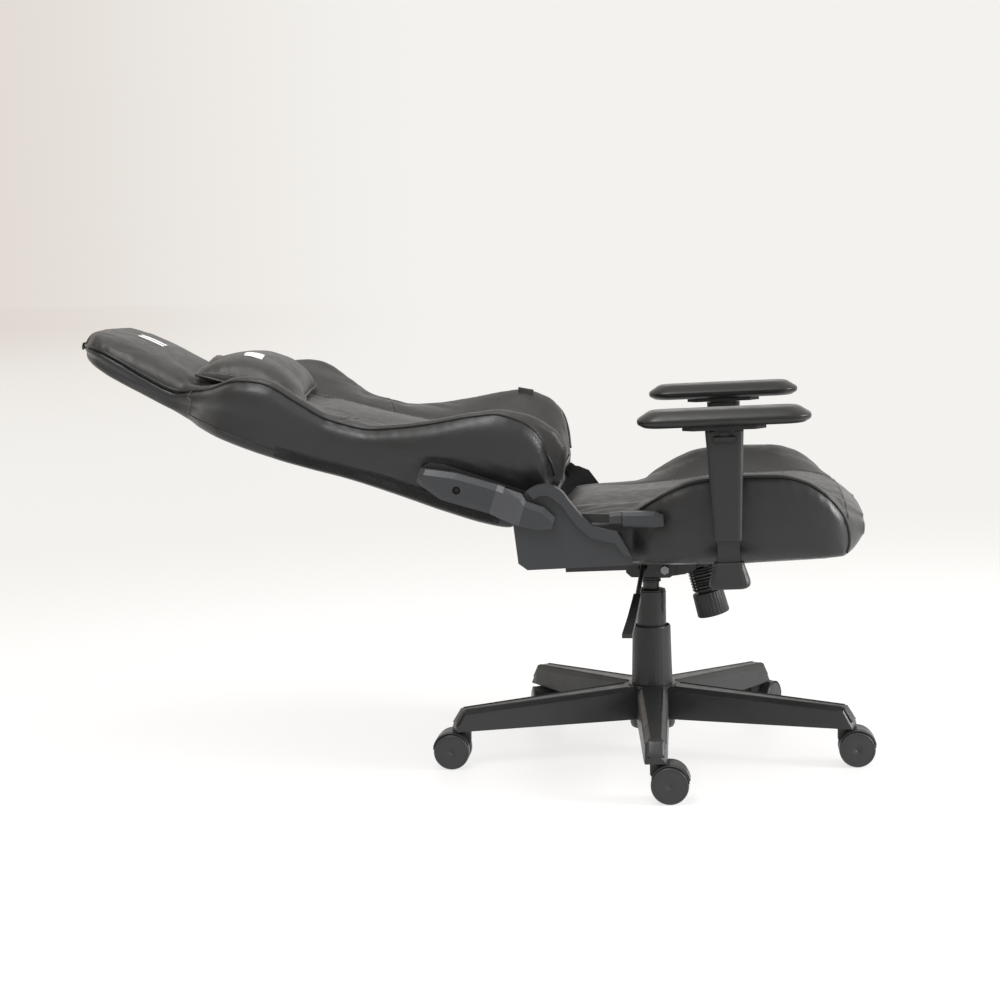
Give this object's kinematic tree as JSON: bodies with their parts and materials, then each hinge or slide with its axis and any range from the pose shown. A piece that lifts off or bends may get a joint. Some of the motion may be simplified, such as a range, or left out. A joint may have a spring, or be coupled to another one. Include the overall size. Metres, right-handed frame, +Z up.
{
  "type": "gaming chair",
  "caption": "Racing-style office chair, reclined: bucket seat, winged backrest with neck pillow, adjustable armrests, gas lift and five-spoke base on casters.",
  "frame": {"origin": "on the floor, under the middle of the bounding box", "axes": "+Z up; the chair faces -Y; +X is the sitter's left; X = 0 is the chair's middle plane, 6.5 mm on the +X side of the box's middle, because the casters stand unevenly"},
  "size_m": [0.695, 1.3096, 0.7233],
  "materials": {
    "faux_leather": "satin",
    "black_nylon": "satin",
    "caster_tread": "matte",
    "black_plastic": "matte",
    "grey_shell": "satin",
    "soft_pad": "matte",
    "black_steel": "satin",
    "plywood": "matte",
    "bare_steel": "satin"
  },
  "bodies": {
    "base": {"base_star": "black_nylon", "column_tube": "black_steel", "column_sleeve": "black_plastic", "guide_bush": "black_plastic", "thrust_bearing": "bare_steel"},
    "piston": {"piston_rod": "bare_steel"},
    "column": {"gas_cylinder": "black_steel", "mech_housing": "black_steel", "tilt_shaft": "bare_steel", "tension_spring": "black_steel"},
    "seat": {"seat_cushion": "faux_leather", "seat_board": "plywood", "mech_plate": "black_steel", "recliner_lower_right": "black_steel", "inner_cover_right": "black_nylon", "lower_cover_right": "grey_shell", "arm_bracket_right": "black_steel", "arm_boot_right": "black_plastic", "recliner_lower_left": "black_steel", "inner_cover_left": "black_nylon", "lower_cover_left": "grey_shell", "arm_bracket_left": "black_steel", "arm_boot_left": "black_plastic"},
    "back": {"back_cushion": "faux_leather", "back_frame": "black_steel", "neck_pillow": "faux_leather", "recliner_upper_right": "black_steel", "upper_cover_right": "grey_shell", "recliner_upper_left": "black_steel", "upper_cover_left": "grey_shell"},
    "recline_control": {"recline_rod": "bare_steel", "recline_lever": "black_steel", "recline_handle": "grey_shell"},
    "lift_control": {"lift_lever": "black_steel", "lift_paddle": "black_plastic"},
    "tension_control": {"tension_knob": "black_plastic"},
    "armrest_right": {"arm_sleeve_right": "black_plastic"},
    "height_trigger_right": {"arm_trigger_right": "black_plastic"},
    "armrest_mount_right": {"pad_mount_right": "black_plastic"},
    "armrest_pad_right": {"arm_pad_right": "soft_pad"},
    "armrest_left": {"arm_sleeve_left": "black_plastic"},
    "height_trigger_left": {"arm_trigger_left": "black_plastic"},
    "armrest_mount_left": {"pad_mount_left": "black_plastic"},
    "armrest_pad_left": {"arm_pad_left": "soft_pad"},
    "caster_1": {"caster_1_frame": "black_nylon"},
    "caster_1_roller_a": {"caster_1_wheel_a": "caster_tread"},
    "caster_1_roller_b": {"caster_1_wheel_b": "caster_tread"},
    "caster_2": {"caster_2_frame": "black_nylon"},
    "caster_2_roller_a": {"caster_2_wheel_a": "caster_tread"},
    "caster_2_roller_b": {"caster_2_wheel_b": "caster_tread"},
    "caster_3": {"caster_3_frame": "black_nylon"},
    "caster_3_roller_a": {"caster_3_wheel_a": "caster_tread"},
    "caster_3_roller_b": {"caster_3_wheel_b": "caster_tread"},
    "caster_4": {"caster_4_frame": "black_nylon"},
    "caster_4_roller_a": {"caster_4_wheel_a": "caster_tread"},
    "caster_4_roller_b": {"caster_4_wheel_b": "caster_tread"},
    "caster_5": {"caster_5_frame": "black_nylon"},
    "caster_5_roller_a": {"caster_5_wheel_a": "caster_tread"},
    "caster_5_roller_b": {"caster_5_wheel_b": "caster_tread"}
  },
  "joints": [
    {"name": "seat_swivel", "type": "hinge", "parent": "base", "child": "piston", "pos_m": [0, -0.2848, 0.18], "axis": [0, 0, 1], "continuous": true},
    {"name": "seat_lift", "type": "slide", "parent": "piston", "child": "column", "axis": [0, 0, 1], "range_m": [-0.006, 0.08]},
    {"name": "seat_tilt", "type": "hinge", "parent": "column", "child": "seat", "pos_m": [0, -0.3098, 0.321], "axis": [-1, 0, 0], "range_deg": [0, 15], "stiffness_Nm_per_rad": 150, "springref_deg": -25.78},
    {"name": "recline", "type": "hinge", "parent": "seat", "child": "back", "pos_m": [0, -0.1248, 0.447], "axis": [1, 0, 0], "range_deg": [0, 68]},
    {"name": "recline_pull", "type": "hinge", "parent": "seat", "child": "recline_control", "pos_m": [0, -0.1248, 0.447], "axis": [-1, 0, 0], "range_deg": [0, 15], "stiffness_Nm_per_rad": 4, "springref_deg": -20.05},
    {"name": "lift_pull", "type": "hinge", "parent": "column", "child": "lift_control", "pos_m": [-0.044, -0.2728, 0.326], "axis": [0, 1, 0], "range_deg": [0, 8], "stiffness_Nm_per_rad": 3, "springref_deg": -14.32},
    {"name": "tension_turn", "type": "hinge", "parent": "column", "child": "tension_control", "pos_m": [0, -0.3668, 0.325], "axis": [0, 0.2588, 0.9659], "continuous": true},
    {"name": "arm_height_right", "type": "slide", "parent": "seat", "child": "armrest_right", "axis": [0, 0.0297, 0.9996], "range_m": [-0.03, 0.05]},
    {"name": "arm_turn_right", "type": "hinge", "parent": "armrest_right", "child": "armrest_mount_right", "pos_m": [-0.292, -0.40931, 0.57506], "axis": [0, 0.0297, 0.9996], "range_deg": [-20, 20]},
    {"name": "pad_slide_right", "type": "slide", "parent": "armrest_mount_right", "child": "armrest_pad_right", "axis": [0, 0.9996, -0.0297], "range_m": [-0.025, 0.025]},
    {"name": "trigger_right", "type": "hinge", "parent": "armrest_right", "child": "height_trigger_right", "pos_m": [-0.3095, -0.4094, 0.57207], "axis": [0, 1, 0], "range_deg": [0, 15], "stiffness_Nm_per_rad": 0.5, "springref_deg": -8.59},
    {"name": "arm_height_left", "type": "slide", "parent": "seat", "child": "armrest_left", "axis": [0, 0.0297, 0.9996], "range_m": [-0.03, 0.05]},
    {"name": "arm_turn_left", "type": "hinge", "parent": "armrest_left", "child": "armrest_mount_left", "pos_m": [0.292, -0.40931, 0.57506], "axis": [0, 0.0297, 0.9996], "range_deg": [-20, 20]},
    {"name": "pad_slide_left", "type": "slide", "parent": "armrest_mount_left", "child": "armrest_pad_left", "axis": [0, 0.9996, -0.0297], "range_m": [-0.025, 0.025]},
    {"name": "trigger_left", "type": "hinge", "parent": "armrest_left", "child": "height_trigger_left", "pos_m": [0.3095, -0.4094, 0.57207], "axis": [0, -1, 0], "range_deg": [0, 15], "stiffness_Nm_per_rad": 0.5, "springref_deg": -8.59},
    {"name": "caster_1_swivel", "type": "hinge", "parent": "base", "child": "caster_1", "pos_m": [-0.32766, -0.29968, 0.07], "axis": [0, 0, 1], "continuous": true},
    {"name": "caster_1_roll_a", "type": "hinge", "parent": "caster_1", "child": "caster_1_roller_a", "pos_m": [-0.32766, -0.32168, 0.02974], "axis": [-1, 0, 0], "continuous": true},
    {"name": "caster_1_roll_b", "type": "hinge", "parent": "caster_1", "child": "caster_1_roller_b", "pos_m": [-0.32766, -0.32168, 0.02974], "axis": [-1, 0, 0], "continuous": true},
    {"name": "caster_2_swivel", "type": "hinge", "parent": "base", "child": "caster_2", "pos_m": [-0.0871, -0.60102, 0.07], "axis": [0, 0, 1], "continuous": true},
    {"name": "caster_2_roll_a", "type": "hinge", "parent": "caster_2", "child": "caster_2_roller_a", "pos_m": [-0.0871, -0.62302, 0.02974], "axis": [-1, 0, 0], "continuous": true},
    {"name": "caster_2_roll_b", "type": "hinge", "parent": "caster_2", "child": "caster_2_roller_b", "pos_m": [-0.0871, -0.62302, 0.02974], "axis": [-1, 0, 0], "continuous": true},
    {"name": "caster_3_swivel", "type": "hinge", "parent": "base", "child": "caster_3", "pos_m": [0.27383, -0.46536, 0.07], "axis": [0, 0, 1], "continuous": true},
    {"name": "caster_3_roll_a", "type": "hinge", "parent": "caster_3", "child": "caster_3_roller_a", "pos_m": [0.29325, -0.47569, 0.02974], "axis": [-0.4695, -0.8829, 0], "continuous": true},
    {"name": "caster_3_roll_b", "type": "hinge", "parent": "caster_3", "child": "caster_3_roller_b", "pos_m": [0.29325, -0.47569, 0.02974], "axis": [-0.4695, -0.8829, 0], "continuous": true},
    {"name": "caster_4_swivel", "type": "hinge", "parent": "base", "child": "caster_4", "pos_m": [0.25634, -0.08017, 0.07], "axis": [0, 0, 1], "continuous": true},
    {"name": "caster_4_roll_a", "type": "hinge", "parent": "caster_4", "child": "caster_4_roller_a", "pos_m": [0.23482, -0.08474, 0.02974], "axis": [-0.2079, 0.9781, 0], "continuous": true},
    {"name": "caster_4_roll_b", "type": "hinge", "parent": "caster_4", "child": "caster_4_roller_b", "pos_m": [0.23482, -0.08474, 0.02974], "axis": [-0.2079, 0.9781, 0], "continuous": true},
    {"name": "caster_5_swivel", "type": "hinge", "parent": "base", "child": "caster_5", "pos_m": [-0.1154, 0.02223, 0.07], "axis": [0, 0, 1], "continuous": true},
    {"name": "caster_5_roll_a", "type": "hinge", "parent": "caster_5", "child": "caster_5_roller_a", "pos_m": [-0.1154, 0.04423, 0.02974], "axis": [1, 0, 0], "continuous": true},
    {"name": "caster_5_roll_b", "type": "hinge", "parent": "caster_5", "child": "caster_5_roller_b", "pos_m": [-0.1154, 0.04423, 0.02974], "axis": [1, 0, 0], "continuous": true}
  ]
}
